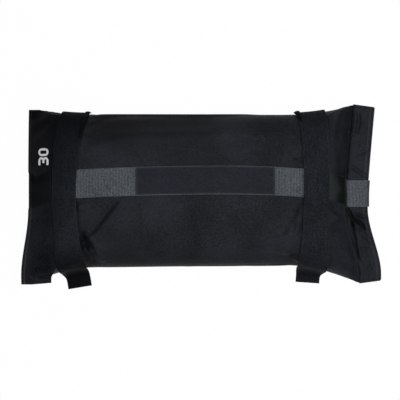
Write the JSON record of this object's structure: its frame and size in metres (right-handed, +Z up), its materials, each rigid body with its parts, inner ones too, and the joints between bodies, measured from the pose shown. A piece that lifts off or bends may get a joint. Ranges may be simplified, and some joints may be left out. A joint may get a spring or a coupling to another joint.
{
  "type": "sandbag trainer",
  "caption": "Sand-filled cloth training bag lying flat, with a fold-over mouth flap, a sewn end hem, a band with a bare patch along the front and webbing straps round it",
  "frame": {"origin": "middle of the whole part's bounding box, on the floor that the bag lies on", "axes": "+X along the bag from its mouth to its sewn hem, +Y across it towards the side where the straps are hinged, +Z up out of its front"},
  "size_m": [0.5656, 0.2935, 0.1061],
  "materials": {
    "black_cloth": "plain woven black cloth",
    "black_webbing": "ribbed black webbing",
    "grey_band_weave": "coarse grey mesh weave",
    "label_weave": "fine dark woven patch",
    "lining": "smooth dense lining cloth",
    "fastening_tape": "hook and loop tape",
    "dry_sand": "packed dry sand"
  },
  "bodies": {
    "bag": {"front_panel": "black_cloth", "back_panel": "black_cloth", "liner_bag": "lining", "sand_fill": "dry_sand", "upper_seam_binding": "fastening_tape", "lower_seam_binding": "fastening_tape", "mouth_hook_tape": "fastening_tape", "mouth_loop_tape": "fastening_tape", "flap_loop_tape": "fastening_tape", "end_hem": "black_cloth", "centre_band": "grey_band_weave", "label_patch": "label_weave", "left_strap_back": "black_webbing", "left_strap_loop_tape": "fastening_tape", "right_strap_back": "black_webbing", "right_strap_loop_tape": "fastening_tape"},
    "flap": {"closure_flap": "black_cloth", "flap_hook_tape": "fastening_tape"},
    "left_strap": {"left_strap_front": "black_webbing", "left_strap_hook_tape": "fastening_tape"},
    "right_strap": {"right_strap_front": "black_webbing", "right_strap_hook_tape": "fastening_tape"}
  },
  "joints": [
    {"name": "flap_hinge", "type": "hinge", "parent": "bag", "child": "flap", "pos_m": [-0.27664, 0, 0.03552], "axis": [-0.0462, -0.9989, 0], "range_deg": [0, 165]},
    {"name": "left_strap_hinge", "type": "hinge", "parent": "bag", "child": "left_strap", "pos_m": [-0.196, 0.13459, 0.048], "axis": [-1, 0, 0], "range_deg": [0, 160]},
    {"name": "right_strap_hinge", "type": "hinge", "parent": "bag", "child": "right_strap", "pos_m": [0.1689, 0.13735, 0.048], "axis": [-1, 0, 0], "range_deg": [0, 160]}
  ]
}
